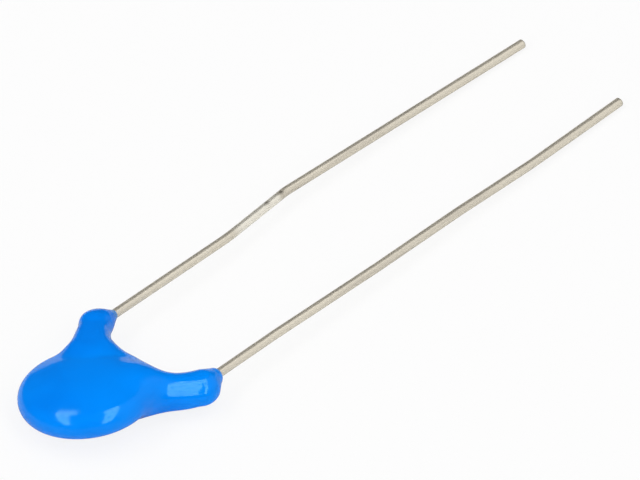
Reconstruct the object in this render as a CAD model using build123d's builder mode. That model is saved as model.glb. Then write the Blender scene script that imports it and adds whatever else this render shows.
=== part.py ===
from build123d import *
import os
from math import asin, cos, degrees, radians, sin, sqrt

# Wire leads
wire_diameter = 0.52
lead_pitch = 7.4
lead_length = 31.2
first_lead_extra = 0.15
second_lead_spread = 0.06
tip_chamfer = 0.05
elbow_radius = 0.8
face_bend_radius = 1.5

# Bent stretch of the first lead: straight, then outwards to a kink, then inwards to the tip
jog_start = 8.5
kink_start = 13.4
kink_out = 0.42
tip_in = 0.7
jog_radius = 12.0
kink_radius = 6.0

# Slight bow of the second lead: a little inwards, then a little outwards, then straight
bow_start = 4.3
bow_in = 0.06
bow_end = 12.5
bow_out = 0.05
bow_radius = 20.0

# Ceramic disc with its fired silver faces
ceramic_diameter = 5.6
ceramic_thickness = 0.8
silver_margin = 0.3
silver_thickness = 0.02
disc_tilt = 7.0
disc_drop = 6.14
disc_shift = -0.3

# Soldered inner run of each lead
lead_reach = 1.0
edge_clearance = 0.25
solder_film = 0.03
solder_length = 3.0
solder_width = 1.3
solder_past_end = 0.35
solder_cover = 0.1
solder_slope = 20.0

# Epoxy coating over the disc
skin_over_rim = 0.79
coated_thickness = 2.8
rim_radius = 0.8

# Ears of epoxy round the elbows of the leads
first_ear_radius = 0.86
first_ear_drop = 1.42
first_ear_out = 0.13
second_ear_radius = 0.93
second_ear_drop = 1.47
second_ear_out = 0.29
elbow_drop = 1.3

# Legs of epoxy from the ears to the disc, and the web between them
leg_sections = 5
first_leg_root_width = 6.0
second_leg_root_width = 5.6
leg_root_inset = 0.05
leg_root_reach = 1.4
leg_lean = 0.12
web_radius = 0.85
web_sag = 0.6
web_span = 5.0
web_rise = 0.09

# Collars where the coating climbs the leads
collar_radius = 0.7
collar_height = 0.14
collar_skin = 0.03

wire_radius = wire_diameter / 2
coated_radius = ceramic_diameter / 2 + skin_over_rim
silver_radius = ceramic_diameter / 2 - silver_margin
silver_height = ceramic_thickness / 2 + silver_thickness
wire_height = silver_height + solder_film + wire_radius

# The capacitor's own frame: leads along +Y, their plane at z = 0, the origin midway between their exits
disc_centre = Vector(disc_shift, -disc_drop, 0)
disc_normal = Vector(-sin(radians(disc_tilt)), 0, cos(radians(disc_tilt)))
disc_across = Vector(cos(radians(disc_tilt)), 0, sin(radians(disc_tilt)))
disc_frame = Plane(origin=disc_centre, x_dir=disc_across, z_dir=disc_normal)
first_ear = Vector(-lead_pitch / 2 - first_ear_out, -first_ear_drop, 0)
second_ear = Vector(lead_pitch / 2 + second_ear_out, -second_ear_drop, 0)

# The coated disc's section: two shallow domes joined tangent to a round rim
rim_ring = coated_radius - rim_radius
dome_radius = (rim_ring**2 + (coated_thickness / 2) ** 2 - rim_radius**2) / (coated_thickness - 2 * rim_radius)
dome_depth = dome_radius - coated_thickness / 2
dome_angle = degrees(asin(rim_ring / (dome_radius - rim_radius)))


def lead_route(side, outer_points):
    """Corners of one lead, from its soldered end to its tip, in the capacitor's own frame."""
    elbow = Vector(side * lead_pitch / 2, -elbow_drop, 0)
    seen = disc_frame.to_local_coords(elbow)
    heading = Vector(seen.X, seen.Y, 0).normalized()
    height = Vector(0, 0, -side * wire_height)
    inner_end = disc_frame.from_local_coords(height - heading * lead_reach)
    face_edge = disc_frame.from_local_coords(height + heading * (ceramic_diameter / 2 + edge_clearance))
    return [inner_end, face_edge, elbow] + outer_points


first_x = -lead_pitch / 2
second_x = lead_pitch / 2
jog = Vector(first_x, jog_start, 0)
kink = Vector(first_x - kink_out, kink_start, 0)
first_tip = Vector(first_x - kink_out + tip_in, lead_length + first_lead_extra, 0)
second_tip = Vector(second_x + second_lead_spread, lead_length, 0)
bow_inner = Vector(second_x - bow_in, bow_start, 0)
bow_outer = Vector(second_x + bow_out, bow_end, 0)
first_route = lead_route(-1, [jog, kink, first_tip])
second_route = lead_route(1, [bow_inner, bow_outer, second_tip])
first_radii = [face_bend_radius, elbow_radius, jog_radius, kink_radius]
second_radii = [face_bend_radius, elbow_radius, bow_radius, bow_radius]


def floor_normal(belly, tip_a, tip_b, belly_radius, tip_radius):
    """Upward normal of the floor that a ball at the belly and a ball at each tip all touch from above."""
    a = belly - tip_a
    b = tip_b - tip_a
    rise = belly_radius - tip_radius
    gram = a.dot(a) * b.dot(b) - a.dot(b) ** 2
    flat = a * (rise * b.dot(b) / gram) - b * (rise * a.dot(b) / gram)
    upright = b.cross(a) if b.cross(a).Z > 0 else a.cross(b)
    return flat + upright.normalized() * sqrt(1 - flat.dot(flat))


# The floor under the lying capacitor, which its belly and both of its tips touch
belly_centre = disc_centre + disc_normal * dome_depth
floor_up = floor_normal(belly_centre, first_tip, second_tip, dome_radius, wire_radius)
floor_x = (Vector(1, 0, 0) - floor_up * floor_up.X).normalized()
floor_y = floor_up.cross(floor_x)


def disc_reach(direction):
    """How far the coated disc stands out from its centre along a direction."""
    return rim_ring * sqrt(1 - disc_normal.dot(direction) ** 2) + rim_radius


lowest_x = min(first_ear.dot(floor_x) - first_ear_radius, disc_centre.dot(floor_x) - disc_reach(floor_x))
highest_x = max(second_ear.dot(floor_x) + second_ear_radius, disc_centre.dot(floor_x) + disc_reach(floor_x))
lowest_y = disc_centre.dot(floor_y) - disc_reach(floor_y)
highest_y = max(first_tip.dot(floor_y), second_tip.dot(floor_y))
floor_level = first_tip.dot(floor_up) - wire_radius
floor_middle = floor_x * ((lowest_x + highest_x) / 2) + floor_y * ((lowest_y + highest_y) / 2) + floor_up * floor_level
floor = Plane(origin=floor_middle, x_dir=floor_x, z_dir=floor_up)
lying = floor.location.inverse()


def laid(plane):
    """A plane of the capacitor's own frame, as it lies on the floor."""
    return Plane(lying * plane.location)


def laid_points(points):
    """Points of the capacitor's own frame, as they lie on the floor."""
    return [Plane(lying).from_local_coords(point) for point in points]


def upright_section(frame):
    """The plane through a frame's X and Z, for a profile that turns round its Z."""
    return laid(Plane(origin=frame.origin, x_dir=frame.x_dir, z_dir=-frame.y_dir))


disc_section = upright_section(disc_frame)
disc_axis = Axis(disc_section.origin, disc_section.y_dir)

# Ceramic dielectric disc
with BuildPart() as ceramic_disc:
    with BuildSketch(laid(disc_frame)):
        Circle(ceramic_diameter / 2)
    extrude(amount=ceramic_thickness / 2, both=True)
ceramic_disc.part.label = "ceramic_disc"

# Silver electrodes, fired on the two faces of the ceramic
with BuildPart() as upper_electrode:
    with BuildSketch(laid(disc_frame.offset(ceramic_thickness / 2))):
        Circle(silver_radius)
    extrude(amount=silver_thickness)
upper_electrode.part.label = "upper_electrode"

with BuildPart() as lower_electrode:
    with BuildSketch(laid(disc_frame.offset(-ceramic_thickness / 2))):
        Circle(silver_radius)
    extrude(amount=-silver_thickness)
lower_electrode.part.label = "lower_electrode"


def lead_end(route):
    """The square end of a wire at its soldered end, looking along the wire."""
    return Plane(origin=route[0], z_dir=route[1] - route[0])


# First lead, soldered to the upper face, with its bent stretch
with BuildPart() as first_lead:
    with BuildLine() as first_path:
        FilletPolyline(*laid_points(first_route), radius=first_radii)
    with BuildSketch(laid(lead_end(first_route))):
        Circle(wire_radius)
    sweep(path=first_path.line)
    chamfer(first_lead.edges().group_by(Axis.Y)[-1], tip_chamfer)
first_lead.part.label = "first_lead"

# Second lead, soldered to the lower face
with BuildPart() as second_lead:
    with BuildLine() as second_path:
        FilletPolyline(*laid_points(second_route), radius=second_radii)
    with BuildSketch(laid(lead_end(second_route))):
        Circle(wire_radius)
    sweep(path=second_path.line)
    chamfer(second_lead.edges().group_by(Axis.Y)[-1], tip_chamfer)
second_lead.part.label = "second_lead"


def solder_mound(route, side, lead):
    """A sloped mound of solder on the silver, with the end of a lead buried in it."""
    along = (route[1] - route[0]).normalized()
    outward = disc_normal * -side
    height = solder_film + wire_diameter + solder_cover
    middle = route[0] + along * (solder_length / 2 - solder_past_end) - outward * (wire_height - silver_height)
    with BuildPart() as mound:
        with BuildSketch(laid(Plane(origin=middle, x_dir=along, z_dir=outward))):
            SlotOverall(solder_length, solder_width)
        extrude(amount=height, taper=solder_slope)
        add(lead.part, mode=Mode.SUBTRACT)
    return mound


# Solder joints between the leads and the silver
upper_solder = solder_mound(first_route, -1, first_lead)
upper_solder.part.label = "upper_solder"
lower_solder = solder_mound(second_route, 1, second_lead)
lower_solder.part.label = "lower_solder"

inner_pieces = [
    ceramic_disc,
    upper_electrode,
    lower_electrode,
    first_lead,
    second_lead,
    upper_solder,
    lower_solder,
]


def leg_frames(ear, ear_radius, root_width, side):
    """Planes and half sizes of one leg's sections, from its ear to its wide root inside the disc."""
    seen = disc_frame.to_local_coords(ear)
    outward = Vector(seen.X, seen.Y, 0).normalized()
    root = disc_frame.from_local_coords(outward * leg_root_reach - Vector(0, 0, side * leg_lean))
    along = (root - ear).normalized()
    root_half = coated_thickness / 2 - leg_root_reach**2 / (2 * dome_radius) - leg_lean - leg_root_inset
    sections = []
    for step in range(leg_sections):
        share = step / (leg_sections - 1)
        half_width = ear_radius + (root_width / 2 - ear_radius) * share**2
        half_thickness = ear_radius + (root_half - ear_radius) * share
        place = Plane(origin=ear + (root - ear) * share, x_dir=along.cross(disc_normal), z_dir=along)
        sections.append((place, half_width, half_thickness))
    return sections


# Epoxy coating: the domed disc, two flared legs with round ears, the web between them and two collars
with BuildPart() as epoxy_coating:
    with BuildSketch(disc_section):
        with BuildLine():
            CenterArc((0, -dome_depth), dome_radius, 90 - dome_angle, dome_angle)
            CenterArc((rim_ring, 0), rim_radius, dome_angle - 90, 180 - 2 * dome_angle)
            CenterArc((0, dome_depth), dome_radius, -90, dome_angle)
            Line((0, coated_thickness / 2), (0, -coated_thickness / 2))
        make_face()
    revolve(axis=disc_axis)

    for ear, ear_radius, root_width, side in (
        (first_ear, first_ear_radius, first_leg_root_width, -1),
        (second_ear, second_ear_radius, second_leg_root_width, 1),
    ):
        stations = leg_frames(ear, ear_radius, root_width, side)
        for place, half_width, half_thickness in stations:
            with BuildSketch(laid(place)):
                Ellipse(half_width, half_thickness)
        loft()
        with Locations(laid(stations[0][0]).location):
            Sphere(ear_radius, arc_size2=0, align=(Align.CENTER, Align.CENTER, Align.MAX))

    web_middle = Vector((first_ear.X + second_ear.X) / 2, coated_radius - disc_drop + web_rise - web_radius, 0)
    web_end = Vector(web_span / 2, web_sag, 0)
    with BuildLine(laid(Plane(web_middle))) as web_path:
        ThreePointArc((-web_end.X, web_end.Y), (0, 0), (web_end.X, web_end.Y))
    with BuildSketch(Plane(origin=web_path.line @ 0, z_dir=web_path.line % 0)):
        Circle(web_radius)
    sweep(path=web_path.line)

    for exit_x in (first_x, second_x):
        collar = laid(Plane(origin=(exit_x, 0, 0), x_dir=(1, 0, 0), z_dir=(0, 0, 1)))
        with BuildSketch(collar):
            with BuildLine():
                top = (wire_radius + collar_skin, collar_height)
                base = (collar_radius, -elbow_drop)
                Polyline(top, base, (0, -elbow_drop), (0, collar_height), close=True)
            make_face()
        revolve(axis=Axis(collar.origin, collar.y_dir))

    for piece in inner_pieces:
        add(piece.part, mode=Mode.SUBTRACT)
epoxy_coating.part.label = "epoxy_coating"

os.makedirs("parts", exist_ok=True)
export_step(epoxy_coating.part, "parts/epoxy_coating.step")
export_step(ceramic_disc.part, "parts/ceramic_disc.step")
export_step(upper_electrode.part, "parts/upper_electrode.step")
export_step(lower_electrode.part, "parts/lower_electrode.step")
export_step(upper_solder.part, "parts/upper_solder.step")
export_step(lower_solder.part, "parts/lower_solder.step")
export_step(first_lead.part, "parts/first_lead.step")
export_step(second_lead.part, "parts/second_lead.step")
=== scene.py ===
"""Looks of a ceramic disc capacitor: a disc dipped in blue epoxy, on two tinned wire leads.

Lengths are in millimetres, in the capacitor's own frame: the leads run along +Y, their plane is z = 0 and
the origin is midway between the places where they leave the coating. Stance lays each finished mesh down
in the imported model's frame, in metres.
"""

from __future__ import annotations

import logging
from dataclasses import dataclass, field
from enum import Enum
from math import cos, pi, radians, sin, sqrt, tan
from typing import Any, Mapping, Optional, Sequence, Union

import bmesh
import bpy
from mathutils import Matrix, Vector


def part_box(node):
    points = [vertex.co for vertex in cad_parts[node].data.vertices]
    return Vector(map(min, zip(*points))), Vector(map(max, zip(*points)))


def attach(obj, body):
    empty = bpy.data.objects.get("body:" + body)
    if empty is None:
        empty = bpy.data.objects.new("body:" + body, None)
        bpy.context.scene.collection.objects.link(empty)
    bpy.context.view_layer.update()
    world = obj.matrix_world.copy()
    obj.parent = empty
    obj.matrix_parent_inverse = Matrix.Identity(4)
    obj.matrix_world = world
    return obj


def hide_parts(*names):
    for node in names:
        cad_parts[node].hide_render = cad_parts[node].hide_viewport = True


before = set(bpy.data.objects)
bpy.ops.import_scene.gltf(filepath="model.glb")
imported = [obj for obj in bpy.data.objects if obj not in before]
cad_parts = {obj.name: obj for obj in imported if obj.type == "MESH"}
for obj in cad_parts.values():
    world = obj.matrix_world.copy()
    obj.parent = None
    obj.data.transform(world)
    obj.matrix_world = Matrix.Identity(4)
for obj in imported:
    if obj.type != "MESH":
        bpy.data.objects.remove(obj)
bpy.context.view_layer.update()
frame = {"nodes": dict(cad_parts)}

log = logging.getLogger("capacitor")
MM = 0.001
Triple = tuple[float, float, float]
Colour = tuple[float, float, float, float]
Operand = Union["Value", float, Sequence[float]]
WHITE: Colour = (1.0, 1.0, 1.0, 1.0)


def srgb(red: float, green: float, blue: float) -> Colour:
    """Turns a colour as a screen shows it into the linear one that a shader takes.

    Args:
        red: Red, from 0 to 255.
        green: Green, from 0 to 255.
        blue: Blue, from 0 to 255.

    Returns:
        The linear colour, with full alpha.
    """
    parts = [part / 255 for part in (red, green, blue)]
    linear = [part / 12.92 if part <= 0.04045 else ((part + 0.055) / 1.055) ** 2.4 for part in parts]
    return (linear[0], linear[1], linear[2], 1.0)


class Value:
    """One output socket, with operators that add the nodes an expression needs."""

    def __init__(self, graph: Graph, socket: Optional[bpy.types.NodeSocket]) -> None:
        """Wraps a socket of a graph."""
        self.graph = graph
        self.socket = socket

    def __add__(self, other: Operand) -> Value:
        """Sum."""
        return self.graph.work_out("ADD", self, other)

    def __radd__(self, other: Operand) -> Value:
        """Sum, with the number first."""
        return self.graph.work_out("ADD", other, self)

    def __sub__(self, other: Operand) -> Value:
        """Difference."""
        return self.graph.work_out("SUBTRACT", self, other)

    def __rsub__(self, other: Operand) -> Value:
        """Difference, with the number first."""
        return self.graph.work_out("SUBTRACT", other, self)

    def __mul__(self, other: Operand) -> Value:
        """Product."""
        return self.graph.work_out("MULTIPLY", self, other)

    def __rmul__(self, other: Operand) -> Value:
        """Product, with the number first."""
        return self.graph.work_out("MULTIPLY", other, self)

    def __truediv__(self, other: Operand) -> Value:
        """Quotient."""
        return self.graph.work_out("DIVIDE", self, other)

    def __rtruediv__(self, other: Operand) -> Value:
        """Quotient, with the number first."""
        return self.graph.work_out("DIVIDE", other, self)

    def __neg__(self) -> Value:
        """The value with its sign turned."""
        return self * -1.0

    def __abs__(self) -> Value:
        """Size without sign."""
        return self.graph.work_out("ABSOLUTE", self)

    def __gt__(self, other: Operand) -> Value:
        """1 where this is more than the other, and 0 elsewhere."""
        return self.graph.work_out("GREATER_THAN", self, other)

    def at_most(self, other: Operand) -> Value:
        """The lesser of the two."""
        return self.graph.work_out("MINIMUM", self, other)

    def at_least(self, other: Operand) -> Value:
        """The greater of the two."""
        return self.graph.work_out("MAXIMUM", self, other)

    def root(self) -> Value:
        """Square root."""
        return self.graph.work_out("SQRT", self)

    def fading(self) -> Value:
        """The exponential of minus this value."""
        return self.graph.work_out("EXPONENT", -self)

    def dot(self, other: Operand) -> Value:
        """Dot product of two vectors."""
        return self.graph.work_out("DOT_PRODUCT", self, other)

    def length(self) -> Value:
        """Length of a vector."""
        return self.graph.work_out("LENGTH", self)

    def rising(self, low: float, high: float) -> Value:
        """Rises smoothly from 0 to 1.

        Args:
            low: The value at which it starts to rise from 0.
            high: The value at which it has reached 1.

        Returns:
            The share risen.
        """
        limits = {"Value": self, "From Min": low, "From Max": high}
        return self.graph.node("ShaderNodeMapRange", {"interpolation_type": "SMOOTHSTEP"}, limits)

    def spread(self, low: float, high: float) -> Value:
        """Stretches 0 to 1 out to low to high."""
        return self * (high - low) + low

    def toward(self, other: Operand, share: Operand) -> Value:
        """Moves from this colour to another.

        Args:
            other: The other colour.
            share: How far to move, from 0 to 1.

        Returns:
            The mixed colour.
        """
        ends = {"Factor_Float": share, "A_Color": self, "B_Color": other}
        settings = {"data_type": "RGBA", "clamp_factor": True}
        return self.graph.node("ShaderNodeMix", settings, ends, "Result_Color")


class Graph:
    """A node tree that expressions on values add to."""

    def __init__(self, tree: bpy.types.NodeTree) -> None:
        """Works on a node tree."""
        self.tree = tree

    @staticmethod
    def pick(sockets: Sequence[bpy.types.NodeSocket], key: Union[int, str]) -> bpy.types.NodeSocket:
        """Finds a socket.

        Args:
            sockets: The sockets to look through.
            key: The socket's number, its identifier or its name.

        Returns:
            The socket.
        """
        if isinstance(key, int):
            return sockets[key]
        return next(socket for socket in sockets if key in (socket.identifier, socket.name))

    def feed(self, socket: bpy.types.NodeSocket, value: Any) -> None:
        """Links a value to a socket, or writes a constant there.

        Args:
            socket: The input socket.
            value: What it gets. One number fills all three parts of a vector.
        """
        if isinstance(value, Value):
            self.tree.links.new(value.socket, socket)
        elif socket.type == "VECTOR" and isinstance(value, (int, float)):
            socket.default_value = (value,) * 3
        else:
            socket.default_value = value

    def node(
        self,
        kind: str,
        settings: Optional[Mapping[str, Any]] = None,
        inputs: Optional[Mapping[Union[int, str], Any]] = None,
        output: Union[int, str] = 0,
    ) -> Value:
        """Adds one node of any type.

        Args:
            kind: The node's type.
            settings: What the node itself is set to.
            inputs: The values or links of its sockets, by name, identifier or number.
            output: The output that the result stands for.

        Returns:
            That output, or a value with no socket for a node that ends the tree.
        """
        made = self.tree.nodes.new(kind)
        for name, setting in (settings or {}).items():
            setattr(made, name, setting)
        for key, value in (inputs or {}).items():
            self.feed(self.pick(made.inputs, key), value)
        return Value(self, self.pick(made.outputs, output) if len(made.outputs) else None)

    @staticmethod
    def is_vector(operand: Operand) -> bool:
        """Whether an operand is a vector or a colour."""
        if isinstance(operand, Value):
            return operand.socket.type in ("VECTOR", "RGBA")
        return hasattr(operand, "__len__")

    def work_out(self, operation: str, *operands: Operand) -> Value:
        """Adds the Math node of an operation, or the Vector Math node where an operand is a vector.

        Args:
            operation: The node's operation.
            operands: What it works on, in order.

        Returns:
            The result.
        """
        vectors = any(self.is_vector(operand) for operand in operands)
        kind = "ShaderNodeVectorMath" if vectors else "ShaderNodeMath"
        output = "Value" if operation in ("DOT_PRODUCT", "LENGTH") else 0
        return self.node(kind, {"operation": operation}, dict(enumerate(operands)), output)

    def noise(self, place: Value, scale: float, detail: float = 2.0) -> Value:
        """Smooth noise.

        Args:
            place: Where the noise is read.
            scale: Cycles to a unit of place.
            detail: How many finer layers are laid over it.

        Returns:
            Noise from 0 to 1.
        """
        inputs = {"Vector": place, "Scale": scale, "Detail": detail}
        return self.node("ShaderNodeTexNoise", {"noise_dimensions": "3D"}, inputs)

    def colour(self, colour: Colour) -> Value:
        """A plain colour."""
        plain = self.node("ShaderNodeRGB")
        plain.socket.default_value = colour
        return plain

    def object_place(self) -> Value:
        """Where a point of the surface is, in millimetres."""
        return self.node("ShaderNodeTexCoord", output="Object") * (1 / MM)

    def carried(self, name: str, output: str = "Fac") -> Value:
        """A named attribute of the mesh, in a shader."""
        return self.node("ShaderNodeAttribute", {"attribute_name": name}, output=output)

    def bump(self, height: Value, depth: float) -> Value:
        """A normal bent by a relief.

        Args:
            height: The relief, from 0 to 1.
            depth: What 1 stands for, in millimetres.

        Returns:
            The normal.
        """
        return self.node("ShaderNodeBump", inputs={"Height": height, "Distance": depth * MM})

    def surface(self, **inputs: Any) -> Value:
        """The main shader, with underscores in its sockets' names as spaces."""
        named = {name.replace("_", " "): value for name, value in inputs.items()}
        return self.node("ShaderNodeBsdfPrincipled", inputs=named)


class ShapeTree:
    """A geometry node tree with named inputs, and the plain mesh that it makes."""

    def __init__(self, name: str, sizes: Mapping[str, Any]) -> None:
        """Makes a tree with an input for each size.

        Args:
            name: The tree's name.
            sizes: Numbers, counts and vectors by name.
        """
        self.tree = bpy.data.node_groups.new(name, "GeometryNodeTree")
        self.graph = Graph(self.tree)
        self.settings: dict[str, Any] = {}
        face = self.tree.interface
        face.new_socket("Geometry", in_out="INPUT", socket_type="NodeSocketGeometry")
        face.new_socket("Geometry", in_out="OUTPUT", socket_type="NodeSocketGeometry")
        for label, value in sizes.items():
            kind = "Vector" if hasattr(value, "__len__") else "Int" if isinstance(value, int) else "Float"
            socket = face.new_socket(label, in_out="INPUT", socket_type=f"NodeSocket{kind}")
            self.settings[socket.identifier] = tuple(value) if kind == "Vector" else value
        entry = self.graph.node("NodeGroupInput").socket.node
        self.size = {
            socket.name: Value(self.graph, socket) for socket in entry.outputs if socket.type != "CUSTOM"
        }

    def end(self, geometry: Value, material: bpy.types.Material) -> None:
        """Ends the tree with real, dressed geometry.

        Args:
            geometry: The finished geometry.
            material: What it is dressed in.
        """
        realized = self.graph.node("GeometryNodeRealizeInstances", inputs={"Geometry": geometry})
        inputs = {"Geometry": realized, "Material": material}
        dressed = self.graph.node("GeometryNodeSetMaterial", inputs=inputs)
        self.graph.node("NodeGroupOutput", inputs={"Geometry": dressed})

    def mesh(self, start: bpy.types.Mesh) -> bpy.types.Mesh:
        """Runs the tree once and keeps its result.

        Args:
            start: The mesh that the tree starts from.

        Returns:
            The result as a plain mesh.
        """
        carrier = bpy.data.objects.new(start.name, start)
        bpy.context.scene.collection.objects.link(carrier)
        modifier = carrier.modifiers.new("shape", "NODES")
        modifier.node_group = self.tree
        for identifier, value in self.settings.items():
            modifier[identifier] = value
        depsgraph = bpy.context.evaluated_depsgraph_get()
        evaluated = carrier.evaluated_get(depsgraph)
        made = bpy.data.meshes.new_from_object(evaluated, preserve_all_data_layers=True, depsgraph=depsgraph)
        carrier.modifiers.remove(modifier)
        bpy.data.objects.remove(carrier)
        return made


class Finish:
    """What a surface is finished with. Each kind of finish says how its shader is made."""

    label: str

    def shader(self, graph: Graph) -> Value:
        """The finish's shader."""
        raise NotImplementedError

    def material(self) -> bpy.types.Material:
        """Makes the finish's material."""
        material = bpy.data.materials.new(self.label)
        material.use_nodes = True
        material.node_tree.nodes.clear()
        graph = Graph(material.node_tree)
        graph.node("ShaderNodeOutputMaterial", inputs={"Surface": self.shader(graph)})
        return material


@dataclass(frozen=True)
class DippedEpoxy(Finish):
    """Blue epoxy that ran smooth as it cured: glossy, a little cloudy, and thin where it climbs a wire."""

    label: str = "blue_epoxy"
    deep: Colour = srgb(0, 126, 240)
    bright: Colour = srgb(0, 138, 252)
    thin: Colour = srgb(96, 150, 205)
    cloud_scale: float = 0.22
    cloud_low: float = 0.35
    cloud_high: float = 0.65
    speck_scale: float = 9.0
    speck_share: float = 0.12
    thin_film: float = 0.04
    full_film: float = 0.3
    thin_share: float = 0.75
    gloss: float = 0.3
    gloss_tint: Colour = (0.42, 0.95, 0.35, 1.0)
    roughness_low: float = 0.07
    roughness_high: float = 0.12
    mottle_scale: float = 3.2
    peel_scale: float = 1.6
    peel_depth: float = 0.012

    def shader(self, graph: Graph) -> Value:
        """Clouded blue that greys where the film is thin, under a gloss with a faint orange peel."""
        place = graph.object_place()
        clouds = graph.noise(place, self.cloud_scale).rising(self.cloud_low, self.cloud_high)
        specks = graph.noise(place, self.speck_scale, detail=3.0)
        share = clouds * (1 - self.speck_share) + specks * self.speck_share
        film = graph.carried("film")
        thinness = (1 - film.rising(self.thin_film, self.full_film)) * self.thin_share
        body = graph.colour(self.deep).toward(self.bright, share)
        mottle = graph.noise(place, self.mottle_scale)
        peel = graph.noise(place, self.peel_scale, detail=1.0)
        return graph.surface(
            Base_Color=body.toward(self.thin, thinness),
            Roughness=mottle.spread(self.roughness_low, self.roughness_high),
            Specular_IOR_Level=self.gloss,
            Specular_Tint=self.gloss_tint,
            Normal=graph.bump(peel, self.peel_depth),
        )


@dataclass(frozen=True)
class TinnedWire(Finish):
    """Dull tinned wire, with streaks along it, a slight oxide, a few dark nicks and a painted highlight
    where a lead asks for one.
    """

    label: str = "tinned_wire"
    tin: Colour = srgb(236, 228, 210)
    oxide: Colour = srgb(218, 210, 194)
    # Painted highlight: brighter tin that stands in for the light a bent stretch mirrors.
    painted_highlight_tin: Colour = srgb(255, 250, 236)
    # Colour of the nicks, and of the dark cut end, which is partly the burr's metal and partly painted
    # shade.
    nick: Colour = srgb(70, 64, 56)
    metallic: float = 0.65
    streak_round: float = 1.1
    streak_along: float = 0.12
    streak_share: float = 0.6
    oxide_low: float = 0.42
    oxide_high: float = 0.68
    grain_round: float = 3.0
    grain_along: float = 1.5
    roughness_low: float = 0.2
    roughness_high: float = 0.32
    grain_depth: float = 0.0008

    def shader(self, graph: Graph) -> Value:
        """Streaks that follow the wire, because they are drawn on its own length and girth."""
        girth = graph.carried("girth_place", "Vector")
        along = graph.carried("lengthwise")
        streaks = self.drawn(graph, girth, along, self.streak_round, self.streak_along)
        grain = self.drawn(graph, girth, along, self.grain_round, self.grain_along)
        # The nick attribute also carries the dark cut end: partly the burr's own metal, partly painted
        # shade.
        nicks = graph.carried("nick")
        # The brighter tin mixed in next is a painted highlight, standing in for the light that the bent
        # stretch mirrors.
        rubbed = graph.carried("rubbed")
        tarnish = streaks.rising(self.oxide_low, self.oxide_high)
        tin = graph.colour(self.tin).toward(self.oxide, tarnish).toward(self.painted_highlight_tin, rubbed)
        wear = streaks * self.streak_share + grain * (1 - self.streak_share)
        return graph.surface(
            Base_Color=tin.toward(self.nick, nicks),
            Roughness=wear.spread(self.roughness_low, self.roughness_high),
            Metallic=(1 - nicks) * self.metallic,
            Normal=graph.bump(grain, self.grain_depth),
        )

    @staticmethod
    def drawn(graph: Graph, girth: Value, along: Value, round_scale: float, along_scale: float) -> Value:
        """Noise drawn out along the wire.

        Args:
            graph: The material's graph.
            girth: Where a point is round the wire, as a unit vector of its section.
            along: How far a point is along the wire.
            round_scale: Cycles of noise to the wire's radius.
            along_scale: Cycles of noise to a millimetre of length.

        Returns:
            Noise from 0 to 1.
        """
        length_way = graph.node("ShaderNodeCombineXYZ", inputs={"Z": along * along_scale})
        return graph.noise(girth * round_scale + length_way, 1.0, detail=3.0)


@dataclass(frozen=True)
class FiredCeramic(Finish):
    """Fired dielectric ceramic: matt, tan and finely speckled."""

    label: str = "dielectric_ceramic"
    clay: Colour = srgb(176, 150, 118)
    grains: Colour = srgb(136, 112, 86)
    grain_scale: float = 14.0
    grain_low: float = 0.4
    grain_high: float = 0.65
    roughness_low: float = 0.7
    roughness_high: float = 0.9
    grain_depth: float = 0.01

    def shader(self, graph: Graph) -> Value:
        """A speckle in the colour, in the roughness and in a shallow bump."""
        grain = graph.noise(graph.object_place(), self.grain_scale, detail=4.0)
        speckle = grain.rising(self.grain_low, self.grain_high)
        return graph.surface(
            Base_Color=graph.colour(self.clay).toward(self.grains, speckle),
            Roughness=grain.spread(self.roughness_low, self.roughness_high),
            Normal=graph.bump(grain, self.grain_depth),
        )


@dataclass(frozen=True)
class FiredMetal(Finish):
    """A metal laid on hot, whose surface froze with a grain: silver paste or solder."""

    label: str
    tone: Colour
    dull: Colour
    grain_scale: float
    grain_depth: float
    roughness_low: float
    roughness_high: float

    def shader(self, graph: Graph) -> Value:
        """A grain that dulls the metal and roughens it."""
        grain = graph.noise(graph.object_place(), self.grain_scale, detail=3.0)
        return graph.surface(
            Base_Color=graph.colour(self.tone).toward(self.dull, grain),
            Metallic=1.0,
            Roughness=grain.spread(self.roughness_low, self.roughness_high),
            Normal=graph.bump(grain, self.grain_depth),
        )


@dataclass(frozen=True)
class StudioFloor(Finish):
    """A white floor that the camera sees as lit paper, and that keeps a faint shadow of what lies on it."""

    label: str = "studio_floor"
    paper: Colour = (0.86, 0.86, 0.86, 1.0)
    mirrored_paper: Colour = (0.64, 0.64, 0.64, 1.0)
    lift: float = 0.86

    def shader(self, graph: Graph) -> Value:
        """Paper for every ray, mixed with plain white for the camera's."""
        seen = graph.node("ShaderNodeLightPath", output="Is Camera Ray")
        mirrored = graph.node("ShaderNodeLightPath", output="Is Glossy Ray")
        tone = graph.colour(self.paper).toward(self.mirrored_paper, mirrored)
        paper = graph.node("ShaderNodeBsdfDiffuse", inputs={"Color": tone})
        white = graph.node("ShaderNodeEmission", inputs={"Color": WHITE})
        return graph.node("ShaderNodeMixShader", inputs={0: seen * self.lift, 1: paper, 2: white})


class Side(Enum):
    """The two leads, each with the way it lies from the middle, along X."""

    FIRST = -1
    SECOND = 1


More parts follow.
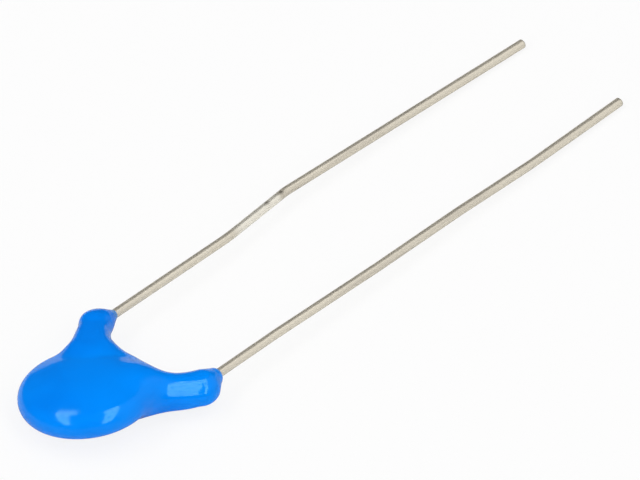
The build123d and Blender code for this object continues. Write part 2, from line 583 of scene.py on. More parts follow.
@dataclass(frozen=True)
class DomedDisc:
    """A coated disc: two shallow domes joined to a round rim, tilted about the leads' way.

    Attributes:
        middle: Its middle.
        radius: Its radius at the rim.
        thickness: Its thickness at the middle.
        rim_radius: Radius of the rim's round edge.
        tilt: How far it is tilted against the leads' plane.
    """

    middle: Triple = (-0.3, -6.14, 0.0)
    radius: float = 3.59
    thickness: float = 2.8
    rim_radius: float = 0.8
    tilt: float = radians(7.0)

    @property
    def centre(self) -> Vector:
        """Middle of the disc."""
        return Vector(self.middle)

    @property
    def normal(self) -> Vector:
        """The way that the disc's upper face looks."""
        return Vector((-sin(self.tilt), 0, cos(self.tilt)))

    @property
    def dome_radius(self) -> float:
        """Radius of the two shallow domes that meet the disc's round rim."""
        ring = self.radius - self.rim_radius
        rise = (self.thickness / 2) ** 2 - self.rim_radius**2
        return (ring**2 + rise) / (self.thickness - 2 * self.rim_radius)

    @property
    def dome_depth(self) -> float:
        """How far past the disc's middle a dome's centre lies."""
        return self.dome_radius - self.thickness / 2


@dataclass(frozen=True)
class Layout:
    """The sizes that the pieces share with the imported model.

    Attributes:
        wire_diameter: Diameter of both leads.
        lead_pitch: From one lead to the other, where they leave the coating.
        lead_length: How far the second lead reaches from there.
        first_lead_extra: How much farther the first lead reaches.
        second_lead_spread: How far outwards the second lead's tip lies.
        kink_out: How far outwards the bent stretch brings the first lead.
        tip_in: How far back inwards its tip lies from there.
        elbow_drop: How deep in the coating the leads' elbows are.
        ceramic_diameter: Diameter of the ceramic disc.
        wire_height: From the disc's middle plane to a wire's middle, where it is soldered on.
        disc: The coated disc.
    """

    wire_diameter: float = 0.52
    lead_pitch: float = 7.4
    lead_length: float = 31.2
    first_lead_extra: float = 0.15
    second_lead_spread: float = 0.06
    kink_out: float = 0.42
    tip_in: float = 0.7
    elbow_drop: float = 1.3
    ceramic_diameter: float = 5.6
    wire_height: float = 0.71
    disc: DomedDisc = DomedDisc()

    @property
    def wire_radius(self) -> float:
        """Half the wire's diameter."""
        return self.wire_diameter / 2

    @property
    def tips(self) -> tuple[Vector, Vector]:
        """Ends of the first and of the second lead."""
        first_x = Side.FIRST.value * self.lead_pitch / 2 - self.kink_out + self.tip_in
        second_x = Side.SECOND.value * self.lead_pitch / 2 + self.second_lead_spread
        first = Vector((first_x, self.lead_length + self.first_lead_extra, 0))
        return first, Vector((second_x, self.lead_length, 0))


class Stance:
    """How the capacitor lies on the floor, on its belly and on both of its tips."""

    def __init__(self, layout: Layout) -> None:
        """Works the way down out of the sizes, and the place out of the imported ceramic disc."""
        up = self.floor_normal(layout)
        across = (Vector((1, 0, 0)) - up * up.x).normalized()
        turned = Matrix((across, up.cross(across), up))
        low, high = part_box("ceramic_disc")
        self.turn = turned
        self.matrix = Matrix.Translation((low + high) / 2) @ turned.to_4x4() @ Matrix.Scale(MM, 4)
        self.matrix @= Matrix.Translation(-layout.disc.centre)

    @staticmethod
    def floor_normal(layout: Layout) -> Vector:
        """The way up from a floor that the belly's dome and a ball at each tip all touch from above.

        Args:
            layout: The sizes of the disc and of the leads.

        Returns:
            The floor's normal in the capacitor's own frame.
        """
        first_tip, second_tip = layout.tips
        belly = layout.disc.centre + layout.disc.normal * layout.disc.dome_depth
        to_belly = belly - first_tip
        to_second = second_tip - first_tip
        rise = layout.disc.dome_radius - layout.wire_radius
        gram = to_belly.length_squared * to_second.length_squared - to_belly.dot(to_second) ** 2
        flat = to_belly * (rise * to_second.length_squared / gram)
        flat -= to_second * (rise * to_belly.dot(to_second) / gram)
        upright = to_second.cross(to_belly)
        upright.normalize()
        if upright.z < 0:
            upright.negate()
        return flat + upright * sqrt(1 - flat.length_squared)

    def place(self, point: Sequence[float]) -> Vector:
        """Where a point of the capacitor's own frame lies, in metres."""
        return self.matrix @ Vector(point)

    def way(self, direction: Sequence[float]) -> Vector:
        """Which way a direction of the capacitor's own frame points as it lies."""
        return self.turn @ Vector(direction)


class Piece:
    """A finished mesh that rides on the part's one body."""

    body = "root"

    @classmethod
    def settle(
        cls, mesh: bpy.types.Mesh, name: str, node: str, slot: str, stance: Stance
    ) -> bpy.types.Object:
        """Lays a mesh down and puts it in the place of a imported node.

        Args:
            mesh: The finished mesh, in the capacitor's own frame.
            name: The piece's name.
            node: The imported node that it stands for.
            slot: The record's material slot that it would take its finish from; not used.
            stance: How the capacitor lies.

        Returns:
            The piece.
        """
        mesh.transform(stance.matrix)
        mesh.name = name
        piece = bpy.data.objects.new(name, mesh)
        bpy.context.scene.collection.objects.link(piece)
        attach(piece, cls.body)
        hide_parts(node)
        return piece


@dataclass(frozen=True)
class Leg:
    """One leg of epoxy: a round ear about the lead's elbow, and a cone that widens towards the disc.

    Attributes:
        ear: Centre of the ear.
        ear_radius: Radius of the ear, where the cone starts.
        reach: How far towards the disc's middle the cone goes, as a share.
        root_radius: Radius of the cone's end in the disc.
        collar_height: Where the collar's top is along the wire.
        collar_base: Radius of the collar in the ear.
        collar_top: Radius of the collar's top.
    """

    ear: Triple
    ear_radius: float
    reach: float
    root_radius: float
    collar_height: float
    collar_base: float
    collar_top: float


@dataclass
class DippedCoating(Piece):
    """The epoxy coating, poured into one smooth skin over the disc, the legs, the web and the collars.

    Attributes:
        layout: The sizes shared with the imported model.
        name: The piece's name.
        node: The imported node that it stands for.
        disc: The coated disc as it looks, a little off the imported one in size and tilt.
        first_leg: The leg round the first lead.
        second_leg: The leg round the second lead.
        leg_blend: How far from each other the legs' and the disc's skins start to blend.
        knuckle: Middle of the swelling under the second leg.
        knuckle_radius: Radius of that swelling.
        knuckle_blend: How far off it starts to blend.
        web_start: Middle of the first end of the web between the legs.
        web_end: Middle of its second end.
        web_radius: Radius of the web.
        web_blend: How far off it starts to blend.
        collar_drop: How deep in the ears the collars start.
        collar_blend: How far off they start to blend.
        belly_blend: How softly the disc's faces trim what swells past them.
        ear_blend: How far off the ears start to blend with what was trimmed.
        film_run: How far below the wires' exits the thin film ends.
        sag_scale: Cycles of the skin's unevenness to a millimetre.
        sag_depth: Depth of that unevenness.
        voxel: Side of the cells that the skin is first worked out in.
        margin: Room left round the coating there.
        smoothing_steps: How often the skin's points are moved onto the true distance.
    """

    layout: Layout
    name: str = "dipped_coating"
    node: str = "epoxy_coating"
    disc: DomedDisc = DomedDisc(
        middle=(-0.24, -6.06, 0.0), radius=3.66, thickness=2.71, rim_radius=0.84, tilt=radians(9.3)
    )
    first_leg: Leg = Leg(
        ear=(-3.76, -1.76, 0.06),
        ear_radius=0.78,
        reach=0.42,
        root_radius=1.25,
        collar_height=-0.26,
        collar_base=0.32,
        collar_top=0.17,
    )
    second_leg: Leg = Leg(
        ear=(4.04, -1.73, -0.11),
        ear_radius=0.71,
        reach=0.55,
        root_radius=1.41,
        collar_height=-0.49,
        collar_base=0.58,
        collar_top=0.43,
    )
    leg_blend: float = 0.83
    knuckle: Triple = (3.33, -2.24, -0.43)
    knuckle_radius: float = 0.61
    knuckle_blend: float = 1.03
    web_start: Triple = (-1.79, -3.28, -0.04)
    web_end: Triple = (-0.97, -3.48, -0.04)
    web_radius: float = 0.77
    web_blend: float = 0.57
    collar_drop: float = 1.1
    collar_blend: float = 1.31
    belly_blend: float = 0.24
    ear_blend: float = 0.2
    film_run: float = 0.6
    sag_scale: float = 0.7
    sag_depth: float = 0.012
    voxel: float = 0.062
    margin: float = 0.25
    smoothing_steps: int = 2

    def build(self, stance: Stance, finish: Finish) -> bpy.types.Object:
        """Makes the coating.

        Args:
            stance: How the capacitor lies.
            finish: What it is finished with.

        Returns:
            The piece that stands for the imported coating.
        """
        tree = ShapeTree("dipped_coating_shape", self.sizes())
        graph = tree.graph
        place = graph.node("GeometryNodeInputPosition")
        depth = self.distance(place, tree.size)
        low, high = self.extent()
        cells = [int((top - bottom) / self.voxel) for bottom, top in zip(low, high)]
        cube = graph.node(
            "GeometryNodeVolumeCube",
            inputs={
                "Density": -depth,
                "Background": -1.0,
                "Min": low,
                "Max": high,
                "Resolution X": cells[0],
                "Resolution Y": cells[1],
                "Resolution Z": cells[2],
            },
        )
        skin = graph.node(
            "GeometryNodeVolumeToMesh", {"resolution_mode": "GRID"}, {"Volume": cube, "Threshold": 0.0}
        )
        outward = graph.node("GeometryNodeInputNormal")
        for _ in range(self.smoothing_steps):
            onto_skin = {"Geometry": skin, "Offset": outward * -depth}
            skin = graph.node("GeometryNodeSetPosition", inputs=onto_skin)
        sag = (graph.noise(place, self.sag_scale, detail=1.0) - 1.0) * tree.size["Sag depth"]
        skin = graph.node("GeometryNodeSetPosition", inputs={"Geometry": skin, "Offset": outward * sag})
        film = self.film(place, tree.size)
        skin = graph.node(
            "GeometryNodeStoreNamedAttribute",
            {"data_type": "FLOAT", "domain": "POINT"},
            {"Geometry": skin, "Name": "film", "Value": film},
        )
        smooth = graph.node("GeometryNodeSetShadeSmooth", inputs={"Geometry": skin, "Shade Smooth": True})
        tree.end(smooth, finish.material())
        mesh = tree.mesh(bpy.data.meshes.new(self.name))
        return self.settle(mesh, self.name, self.node, "blue_epoxy", stance)

    def extent(self) -> tuple[Triple, Triple]:
        """Corners of the block that the coating is worked out in."""
        reach = self.disc.thickness / 2 + 2 * self.margin
        lowest_y = self.disc.centre.y - self.disc.radius - self.margin
        low = (self.first_leg.ear[0] - self.first_leg.ear_radius - self.margin, lowest_y, -reach)
        high = (self.second_leg.ear[0] + self.second_leg.ear_radius + self.margin, 2 * self.margin, reach)
        return low, high

    def sizes(self) -> dict[str, Any]:
        """The named inputs of the coating's tree."""
        disc = self.disc
        sizes: dict[str, Any] = {
            "Disc centre": disc.centre,
            "Disc normal": disc.normal,
            "Disc half thickness": disc.thickness / 2,
            "Dome radius": disc.dome_radius,
            "Dome depth": disc.dome_depth,
            "Rim ring": disc.radius - disc.rim_radius,
            "Rim radius": disc.rim_radius,
            "Wire radius": self.layout.wire_radius,
            "Sag depth": self.sag_depth,
            "Web start": self.web_start,
            "Web end": self.web_end,
            "Web radius": self.web_radius,
            "Knuckle": self.knuckle,
            "Knuckle radius": self.knuckle_radius,
        }
        for side, leg in ((Side.FIRST, self.first_leg), (Side.SECOND, self.second_leg)):
            label = side.name.capitalize()
            exit_x = side.value * self.layout.lead_pitch / 2
            root = Vector(leg.ear).lerp(disc.centre, leg.reach)
            sizes |= {
                f"{label} ear": leg.ear,
                f"{label} ear radius": leg.ear_radius,
                f"{label} root": root,
                f"{label} root radius": leg.root_radius,
                f"{label} exit": (exit_x, 0.0, 0.0),
                f"{label} collar base": (exit_x, -self.collar_drop, 0.0),
                f"{label} collar base radius": leg.collar_base,
                f"{label} collar top": (exit_x, leg.collar_height, 0.0),
                f"{label} collar top radius": leg.collar_top,
            }
        return sizes

    def distance(self, place: Value, size: Mapping[str, Value]) -> Value:
        """How far a place is outside the coating's skin.

        Args:
            place: The place.
            size: The tree's inputs.

        Returns:
            The distance, less than nought inside.
        """
        body = self.domed_disc(place, size)
        for label in ("First", "Second"):
            leg = self.round_cone(
                place,
                size[f"{label} ear"],
                size[f"{label} root"],
                size[f"{label} ear radius"],
                size[f"{label} root radius"],
            )
            body = self.poured(body, leg, self.leg_blend)
        thick = size["Web radius"]
        web = self.round_cone(place, size["Web start"], size["Web end"], thick, thick)
        body = self.poured(body, web, self.web_blend)
        for label in ("First", "Second"):
            collar = self.round_cone(
                place,
                size[f"{label} collar base"],
                size[f"{label} collar top"],
                size[f"{label} collar base radius"],
                size[f"{label} collar top radius"],
            )
            body = self.poured(body, collar, self.collar_blend)
        knuckle = (place - size["Knuckle"]).length() - size["Knuckle radius"]
        body = self.poured(body, knuckle, self.knuckle_blend)
        # The blends swell past the disc's two faces, so the body is trimmed there, and the ears are not.
        off_plane = abs((place - size["Disc centre"]).dot(size["Disc normal"]))
        body = -self.poured(-body, size["Disc half thickness"] - off_plane, self.belly_blend)
        for label in ("First", "Second"):
            ear = (place - size[f"{label} ear"]).length() - size[f"{label} ear radius"]
            body = self.poured(body, ear, self.ear_blend)
        return body

    @staticmethod
    def poured(one: Value, other: Value, blend: float) -> Value:
        """Joins two forms with a fillet, as a poured skin does.

        Args:
            one: Distance from the first form.
            other: Distance from the second form.
            blend: How far from each other their skins start to blend.

        Returns:
            Distance from both as one form.
        """
        near = (blend - abs(one - other)).at_least(0.0) / blend
        return one.at_most(other) - near * near * (blend / 4)

    @staticmethod
    def round_cone(place: Value, start: Value, end: Value, start_radius: Value, end_radius: Value) -> Value:
        """Distance from a cone with round ends.

        Args:
            place: The place.
            start: Centre of its first end.
            end: Centre of its second end.
            start_radius: Radius at its first end.
            end_radius: Radius at its second end.

        Returns:
            The distance, less than nought inside.
        """
        run = end - start
        share = ((place - start).dot(run) / run.dot(run)).at_least(0.0).at_most(1.0)
        radius = start_radius + (end_radius - start_radius) * share
        return (place - start - run * share).length() - radius

    @staticmethod
    def domed_disc(place: Value, size: Mapping[str, Value]) -> Value:
        """Distance from the coated disc: two shallow domes joined to a round rim.

        Args:
            place: The place.
            size: The tree's inputs.

        Returns:
            The distance, less than nought inside.
        """
        from_centre = place - size["Disc centre"]
        off_plane = abs(from_centre.dot(size["Disc normal"]))
        outward = (from_centre.dot(from_centre) - off_plane * off_plane).at_least(0.0).root()
        above_dome = off_plane + size["Dome depth"]
        dome = (outward * outward + above_dome * above_dome).root() - size["Dome radius"]
        past_ring = outward - size["Rim ring"]
        rim = (past_ring * past_ring + off_plane * off_plane).root() - size["Rim radius"]
        on_rim = outward * size["Dome depth"] > size["Rim ring"] * above_dome
        return dome + (rim - dome) * on_rim

    def film(self, place: Value, size: Mapping[str, Value]) -> Value:
        """How thick the epoxy is over the nearer wire, near the places where the wires leave it.

        Args:
            place: A place on the skin.
            size: The tree's inputs.

        Returns:
            The thickness, which grows with depth below the film's run.
        """
        across = (1.0, 0.0, 1.0)
        first = ((place - size["First exit"]) * across).length()
        second = ((place - size["Second exit"]) * across).length()
        inward = (place.dot((0.0, -1.0, 0.0)) - self.film_run).at_least(0.0)
        return first.at_most(second) - size["Wire radius"] + inward


@dataclass(frozen=True)
class Bend:
    """A corner of a lead's line, in the leads' plane, and the radius that it is bent to."""

    x: float
    y: float
    radius: float


@dataclass(frozen=True)
class Nick:
    """A small dark dent in a wire."""

    place: Triple
    size: float
    depth: float


@dataclass
class WireLead(Piece):
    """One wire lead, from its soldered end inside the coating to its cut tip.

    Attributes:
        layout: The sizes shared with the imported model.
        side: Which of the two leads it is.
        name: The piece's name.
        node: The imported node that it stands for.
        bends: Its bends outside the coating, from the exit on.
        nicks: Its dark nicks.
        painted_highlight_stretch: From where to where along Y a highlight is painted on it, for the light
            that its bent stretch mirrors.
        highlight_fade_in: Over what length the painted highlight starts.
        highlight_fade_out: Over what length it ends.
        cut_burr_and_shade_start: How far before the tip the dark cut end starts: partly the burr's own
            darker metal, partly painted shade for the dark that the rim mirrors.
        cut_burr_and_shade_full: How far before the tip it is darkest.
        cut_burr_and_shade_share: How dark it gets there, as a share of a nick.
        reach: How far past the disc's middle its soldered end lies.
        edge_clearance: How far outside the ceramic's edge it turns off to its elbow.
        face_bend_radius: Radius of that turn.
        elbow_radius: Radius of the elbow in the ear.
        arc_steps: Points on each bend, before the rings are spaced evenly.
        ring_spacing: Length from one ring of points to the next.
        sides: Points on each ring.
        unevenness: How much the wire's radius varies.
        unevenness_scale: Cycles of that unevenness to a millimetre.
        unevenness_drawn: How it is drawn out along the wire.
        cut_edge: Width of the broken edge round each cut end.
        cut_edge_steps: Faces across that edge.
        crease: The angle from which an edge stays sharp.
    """

    layout: Layout
    side: Side
    name: str
    node: str
    bends: tuple[Bend, ...]
    nicks: tuple[Nick, ...] = ()
    painted_highlight_stretch: Optional[tuple[float, float]] = None
    highlight_fade_in: float = 1.0
    highlight_fade_out: float = 0.3
    cut_burr_and_shade_start: float = 0.09
    cut_burr_and_shade_full: float = 0.03
    cut_burr_and_shade_share: float = 0.55
    reach: float = 1.0
    edge_clearance: float = 0.25
    face_bend_radius: float = 1.5
    elbow_radius: float = 0.8
    arc_steps: int = 12
    ring_spacing: float = 0.12
    sides: int = 32
    unevenness: float = 0.012
    unevenness_scale: float = 0.9
    unevenness_drawn: Triple = (1.0, 0.3, 1.0)
    cut_edge: float = 0.045
    cut_edge_steps: int = 3
    crease: float = radians(50)

    def corners(self) -> list[tuple[Vector, float]]:
        """The lead's corners and the radius of each bend, from the solder to the tip."""
        layout = self.layout
        elbow = Vector((self.side.value * layout.lead_pitch / 2, -layout.elbow_drop, 0))
        normal = layout.disc.normal
        seen = elbow - layout.disc.centre
        heading = (seen - normal * seen.dot(normal)).normalized()
        on_face = layout.disc.centre - normal * (self.side.value * layout.wire_height)
        tip = layout.tips[0] if self.side is Side.FIRST else layout.tips[1]
        return [
            (on_face - heading * self.reach, 0.0),
            (on_face + heading * (layout.ceramic_diameter / 2 + self.edge_clearance), self.face_bend_radius),
            (elbow, self.elbow_radius),
            *[(Vector((bend.x, bend.y, 0)), bend.radius) for bend in self.bends],
            (tip, 0.0),
        ]

    def line(self) -> bpy.types.Mesh:
        """The lead's corners as a line, with the radius of each bend as an attribute."""
        corners = self.corners()
        mesh = bpy.data.meshes.new(self.name)
        mesh.from_pydata([point for point, _ in corners], [(i, i + 1) for i in range(len(corners) - 1)], [])
        radius = mesh.attributes.new("bend_radius", "FLOAT", "POINT")
        radius.data.foreach_set("value", [bend for _, bend in corners])
        return mesh

    def build(self, stance: Stance, finish: Finish) -> bpy.types.Object:
        """Makes the lead.

        Args:
            stance: How the capacitor lies.
            finish: What it is finished with.

        Returns:
            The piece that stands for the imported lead.
        """
        sizes = {
            "Wire radius": self.layout.wire_radius,
            "Ring spacing": self.ring_spacing,
            "Unevenness": self.unevenness,
            "Arc steps": self.arc_steps,
            "Sides": self.sides,
        }
        tree = ShapeTree(f"{self.name}_shape", sizes)
        graph, size = tree.graph, tree.size
        path = graph.node("GeometryNodeMeshToCurve", inputs={"Mesh": size["Geometry"]})
        kept = {"Name": "bend_radius"}
        radius = graph.node("GeometryNodeInputNamedAttribute", {"data_type": "FLOAT"}, kept)
        path = graph.node(
            "GeometryNodeFilletCurve",
            {"mode": "POLY"},
            {"Curve": path, "Count": size["Arc steps"], "Radius": radius, "Limit Radius": True},
        )
        path = graph.node(
            "GeometryNodeResampleCurve", {"mode": "LENGTH"}, {"Curve": path, "Length": size["Ring spacing"]}
        )
        length = graph.node("GeometryNodeSplineParameter", output="Length")
        path = self.marked(graph, path, "lengthwise", "FLOAT", length)
        section = graph.node(
            "GeometryNodeCurvePrimitiveCircle",
            {"mode": "RADIUS"},
            {"Resolution": size["Sides"], "Radius": size["Wire radius"]},
        )
        place = graph.node("GeometryNodeInputPosition")
        section = self.marked(graph, section, "girth_place", "FLOAT_VECTOR", place / size["Wire radius"])
        wire = graph.node(
            "GeometryNodeCurveToMesh", inputs={"Curve": path, "Profile Curve": section, "Fill Caps": True}
        )
        wire = self.marked(graph, wire, "nick", "FLOAT", self.nicked_and_shaded(graph, place))
        wire = self.marked(graph, wire, "rubbed", "FLOAT", self.rubbed(graph, place))
        outward = graph.node("GeometryNodeInputNormal")
        drawn = graph.noise(place * self.unevenness_drawn, self.unevenness_scale, detail=1.0)
        swell = (drawn - 1.0) * size["Unevenness"] - self.dents(graph, place)
        wire = graph.node("GeometryNodeSetPosition", inputs={"Geometry": wire, "Offset": outward * swell})
        tree.end(graph.node("GeometryNodeSetShadeSmooth", inputs={"Geometry": wire}), finish.material())
        mesh = tree.mesh(self.line())
        self.round_cut_ends(mesh)
        mesh.set_sharp_from_angle(angle=self.crease)
        return self.settle(mesh, self.name, self.node, "tinned_wire", stance)

    @staticmethod
    def marked(graph: Graph, geometry: Value, name: str, kind: str, value: Value) -> Value:
        """Keeps a value on every point of a geometry, for the finish to read.

        Args:
            graph: The lead's graph.
            geometry: The geometry.
            name: The attribute's name.
            kind: The attribute's type.
            value: The value.

        Returns:
            The geometry with the attribute.
        """
        settings = {"data_type": kind, "domain": "POINT"}
        return graph.node(
            "GeometryNodeStoreNamedAttribute", settings, {"Geometry": geometry, "Name": name, "Value": value}
        )

    def rubbed(self, graph: Graph, place: Value) -> Value:
        """How much painted highlight each place gets, where the bent stretch mirrors a light more brightly."

        Args:
            graph: The lead's graph.
            place: The place.

        Returns:
            A share from 0 to 1.
        """
        if self.painted_highlight_stretch is None:
            return graph.node("ShaderNodeValue")
        start, end = self.painted_highlight_stretch
        along = place.dot((0.0, 1.0, 0.0))
        started = along.rising(start, start + self.highlight_fade_in)
        ended = along.rising(end - self.highlight_fade_out, end)
        return started * (1 - ended)

    def nicked_and_shaded(self, graph: Graph, place: Value) -> Value:
        """How much of a nick or of the dark cut end each place has; that dark is partly the burr's own metal
        and partly painted shade.

        Args:
            graph: The lead's graph.
            place: The place.

        Returns:
            A share from 0 to 1.
        """
        end = self.corners()[-1][0].y
        along = place.dot((0.0, 1.0, 0.0))
        # The dark band at the cut end is partly the burr's own darker metal and partly painted shade for the
        # dark that the rim mirrors.
        share = along.rising(end - self.cut_burr_and_shade_start, end - self.cut_burr_and_shade_full) * self.cut_burr_and_shade_share
        for nick in self.nicks:
            apart = (place - nick.place).length() / nick.size
            share = share.at_least((apart * apart).fading())
        return share

    def dents(self, graph: Graph, place: Value) -> Value:
        """How deep each place is dented.

        Args:
            graph: The lead's graph.
            place: The place.

        Returns:
            The depth in millimetres.
        """
        depth = graph.node("ShaderNodeValue")
        for nick in self.nicks:
            apart = (place - nick.place).length() / nick.size
            depth = depth + (apart * apart).fading() * nick.depth
        return depth

    def round_cut_ends(self, mesh: bpy.types.Mesh) -> None:
        """Breaks the sharp edge round each flat end of the wire.

        Args:
            mesh: The wire's mesh. Its caps are the only faces with more than four corners.
        """
        form = bmesh.new()
        form.from_mesh(mesh)
        ends = [face for face in form.faces if len(face.verts) > 4]
        edges = list({edge for face in ends for edge in face.edges})
        bmesh.ops.bevel(
            form, geom=edges, offset=self.cut_edge, segments=self.cut_edge_steps, profile=0.5, affect="EDGES"
        )
        for face in form.faces:
            face.smooth = True
        form.to_mesh(mesh)
        form.free()


@dataclass
class SealedCore:
    """What the coating seals in: the ceramic disc, its two silver faces and the two solder joints."""

    ceramic: Finish = FiredCeramic()
    silver: Finish = FiredMetal(
        label="fired_silver",
        tone=srgb(226, 224, 218),
        dull=srgb(188, 186, 180),
        grain_scale=20.0,
        grain_depth=0.004,
        roughness_low=0.35,
        roughness_high=0.55,
    )
    solder: Finish = FiredMetal(
        label="solder",
        tone=srgb(206, 206, 204),
        dull=srgb(150, 150, 150),
        grain_scale=3.0,
        grain_depth=0.02,
        roughness_low=0.22,
        roughness_high=0.42,
    )

    def dress(self, nodes: Mapping[str, bpy.types.Object]) -> None:
        """Gives each sealed node its finish.

        Args:
            nodes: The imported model's nodes by name.
        """
        worn = {
            self.ceramic: ["ceramic_disc"],
            self.silver: ["upper_electrode", "lower_electrode"],
            self.solder: ["upper_solder", "lower_solder"],
        }
        for finish, names in worn.items():
            material = finish.material()
            for name in names:
                for slot in nodes[name].material_slots:
                    slot.material = material
                log.info("%s: finished with %s", name, finish.label)


@dataclass(frozen=True)
class StripLight:
    """A long light: panes with thin bars between them for gloss to mirror, and one soft pane behind them.

    Attributes:
        label: The light's name.
        start: The way from the object to the middle of the light's first end.
        end: The way from the object to the middle of its other end.
        width: Its width.
        mirrored_glow: How bright its panes are in a mirror, against white.
        soft_light: How strongly the soft pane lights matt surfaces.
        distance: How far off the panes hang.
        soft_distance: How far off the soft pane hangs.
        panes_along: How many panes there are along it.
        panes_across: How many panes there are across it.
        bar: Width of the dark bars between the panes.
    """

    label: str
    start: Triple
    end: Triple
    width: float
    mirrored_glow: float
    soft_light: float
    distance: float = 500.0
    soft_distance: float = 600.0
    panes_along: int = 3
    panes_across: int = 2
    bar: float = 6.0

    def hang(self) -> None:
        """Hangs the panes round the object, all facing it."""
        start, end = Vector(self.start).normalized(), Vector(self.end).normalized()
        middle = (start + end).normalized()
        along = (end - start).normalized()
        across = middle.cross(along)
        turn = Matrix((along, across, middle)).transposed()
        length = 2 * self.distance * tan(start.angle(end) / 2)
        cell = (length / self.panes_along, self.width / self.panes_across)
        size = (cell[0] - self.bar, cell[1] - self.bar)
        power = self.mirrored_glow * pi * size[0] * size[1] * MM**2
        for i in range(self.panes_along):
            for j in range(self.panes_across):
                shift_along = (i + 0.5 - self.panes_along / 2) * cell[0]
                shift_across = (j + 0.5 - self.panes_across / 2) * cell[1]
                place = middle * self.distance + along * shift_along + across * shift_across
                lamp = self.pane(f"{self.label}_{i}_{j}", place, turn, size, power)
                lamp.visible_diffuse = False
        size = (length, self.width)
        power = self.soft_light * pi * (self.soft_distance * MM) ** 2
        lamp = self.pane(f"{self.label}_soft", middle * self.soft_distance, turn, size, power)
        lamp.visible_glossy = False

    @staticmethod
    def pane(
        name: str, place: Vector, turn: Matrix, size: tuple[float, float], power: float
    ) -> bpy.types.Object:
        """Hangs one pane.

        Args:
            name: The pane's name.
            place: Where its middle hangs.
            turn: How it is turned.
            size: Its sides.
            power: Its power in watts.

        Returns:
            The lamp.
        """
        light = bpy.data.lights.new(name, "AREA")
        light.shape = "RECTANGLE"
        light.size, light.size_y = size[0] * MM, size[1] * MM
        light.energy = power
        lamp = bpy.data.objects.new(name, light)
        lamp.matrix_world = Matrix.Translation(place * MM) @ turn.to_4x4()
        lamp.visible_camera = False
        bpy.context.scene.collection.objects.link(lamp)
        return lamp


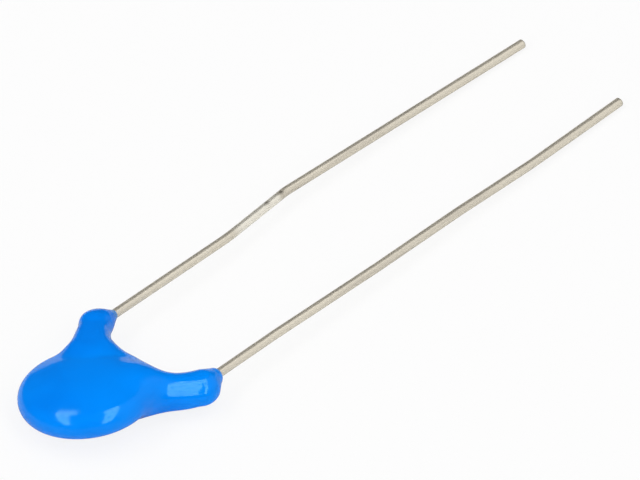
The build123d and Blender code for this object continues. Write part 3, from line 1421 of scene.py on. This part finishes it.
@dataclass
class Studio:
    """White floor, soft light and the camera at the photograph's angle.

    Attributes:
        stance: How the capacitor lies.
        azimuth: How far round from -Y the camera stands, in the capacitor's own frame.
        elevation: How high it stands over the leads' plane, as an angle.
        aim: The point that it looks at.
        distance: How far off it stands.
        lens: Its focal length.
        sensor: Width of its sensor.
        nearest: Where its view starts.
        farthest: Where its view ends.
        floor_half: Half a side of the floor.
        floor_gap: How far the floor lies under the capacitor.
        front: The way to the brighter side of the surround, for soft light.
        front_low: Cosine from that way at which the surround starts to brighten.
        front_high: Cosine at which it is brightest.
        back_surround: The surround's soft light at the back, against white.
        front_surround: The surround's soft light in front, against white.
        gloss_surround: The surround as a mirror shows it, against white.
        window: The way to the bright window that the wires mirror.
        window_low: Cosine from that way at which the window starts.
        window_high: Cosine at which it is brightest.
        window_glow: How bright the window is in a mirror, against white.
        strips: The long lights.
    """

    stance: Stance
    azimuth: float = radians(42.91)
    elevation: float = radians(39.02)
    aim: Triple = (0.027, 11.66, 0.0)
    distance: float = 1000.0
    lens: float = 1061.1
    sensor: float = 36.0
    nearest: float = 10.0
    farthest: float = 10000.0
    floor_half: float = 1500.0
    floor_gap: float = 0.02
    front: Triple = (0.53, -0.57, 0.63)
    front_low: float = -0.5
    front_high: float = 1.0
    back_surround: float = 0.3
    front_surround: float = 0.7
    gloss_surround: float = 0.03
    window: Triple = (0.61, 0.61, 0.51)
    window_low: float = 0.66
    window_high: float = 0.86
    window_glow: float = 0.65
    strips: tuple[StripLight, ...] = field(
        default_factory=lambda: (
            StripLight(
                label="left_strip",
                start=(-0.538, 0.093, 0.837),
                end=(0.149, -0.924, 0.352),
                width=142.0,
                mirrored_glow=6.2,
                soft_light=1.2,
            ),
            StripLight(
                label="right_strip",
                start=(-0.081, 0.329, 0.941),
                end=(0.912, -0.331, 0.241),
                width=168.0,
                mirrored_glow=6.2,
                soft_light=1.2,
            ),
        )
    )

    def build(self) -> None:
        """Sets the whole studio up."""
        self.floor()
        self.world()
        self.camera()
        for strip in self.strips:
            strip.hang()
        bpy.context.scene.view_settings.view_transform = "Standard"

    def floor(self) -> None:
        """Lays the floor just under the object."""
        half, height = self.floor_half * MM, -self.floor_gap * MM
        mesh = bpy.data.meshes.new("floor")
        corners = [(-half, -half), (half, -half), (half, half), (-half, half)]
        mesh.from_pydata([(x, y, height) for x, y in corners], [], [(0, 1, 2, 3)])
        mesh.materials.append(StudioFloor().material())
        floor = bpy.data.objects.new("floor", mesh)
        bpy.context.scene.collection.objects.link(floor)

    def world(self) -> None:
        """White for the camera, brighter in front for soft light, and a window for gloss."""
        world = bpy.data.worlds.new("studio")
        world.use_nodes = True
        world.node_tree.nodes.clear()
        graph = Graph(world.node_tree)
        seen = graph.node("ShaderNodeLightPath", output="Is Camera Ray")
        gloss = graph.node("ShaderNodeLightPath", output="Is Glossy Ray")
        looking = graph.node("ShaderNodeTexCoord", output="Generated")
        in_front = looking.dot(self.front).rising(self.front_low, self.front_high)
        soft = in_front.spread(self.back_surround, self.front_surround)
        window = looking.dot(self.window).rising(self.window_low, self.window_high)
        mirrored = window.spread(self.gloss_surround, self.window_glow)
        strength = soft + gloss * (mirrored - soft)
        strength = strength + seen * (1 - strength)
        background = graph.node("ShaderNodeBackground", inputs={"Color": WHITE, "Strength": strength})
        graph.node("ShaderNodeOutputWorld", inputs={"Surface": background})
        bpy.context.scene.world = world

    def camera(self) -> None:
        """Stands the camera where the photograph was taken from."""
        towards = Vector(
            (
                sin(self.azimuth) * cos(self.elevation),
                -cos(self.azimuth) * cos(self.elevation),
                sin(self.elevation),
            )
        )
        right = Vector((cos(self.azimuth), sin(self.azimuth), 0))
        lens = bpy.data.cameras.new("camera")
        lens.lens = self.lens
        lens.sensor_width = self.sensor
        lens.clip_start = self.nearest * MM
        lens.clip_end = self.farthest * MM
        camera = bpy.data.objects.new("camera", lens)
        back, side = self.stance.way(towards), self.stance.way(right)
        turn = Matrix((side, back.cross(side), back)).transposed()
        spot = self.stance.place(Vector(self.aim) + towards * self.distance)
        camera.matrix_world = Matrix.Translation(spot) @ turn.to_4x4()
        bpy.context.scene.collection.objects.link(camera)
        bpy.context.scene.camera = camera


def first_lead(layout: Layout) -> WireLead:
    """The lead with the bent stretch."""
    return WireLead(
        layout,
        side=Side.FIRST,
        name="bent_lead",
        node="first_lead",
        bends=(Bend(-3.7, 8.5, 12.0), Bend(-4.12, 13.4, 3.5)),
        nicks=(Nick((-4.03, 11.83, 0.24), 0.18, 0.03), Nick((-4.09, 13.0, 0.24), 0.18, 0.03)),
        # A highlight is painted on the bent stretch, where it mirrors a light more brightly.
        painted_highlight_stretch=(8.6, 12.9),
    )


def second_lead(layout: Layout) -> WireLead:
    """The lead that is almost straight."""
    return WireLead(
        layout,
        side=Side.SECOND,
        name="straight_lead",
        node="second_lead",
        bends=(
            Bend(3.675, 4.3, 20.0),
            Bend(3.8, 12.0, 20.0),
            Bend(3.785, 18.5, 25.0),
            Bend(3.9, 24.0, 25.0),
        ),
        nicks=(
            Nick((3.76, 18.78, 0.24), 0.08, 0.02),
            Nick((3.83, 28.84, 0.24), 0.08, 0.02),
            Nick((3.76, 30.5, 0.25), 0.06, 0.01),
            Nick((3.75, 31.17, 0.25), 0.12, 0.02),
        ),
    )


def main() -> None:
    """Builds the capacitor's looks and the studio around it."""
    logging.basicConfig(level=logging.INFO, format="%(message)s")
    layout = Layout()
    stance = Stance(layout)
    Studio(stance).build()
    SealedCore().dress(frame["nodes"])
    wire = TinnedWire()
    first_lead(layout).build(stance, wire)
    second_lead(layout).build(stance, wire)
    DippedCoating(layout).build(stance, DippedEpoxy())


if __name__ == "__main__":
    main()
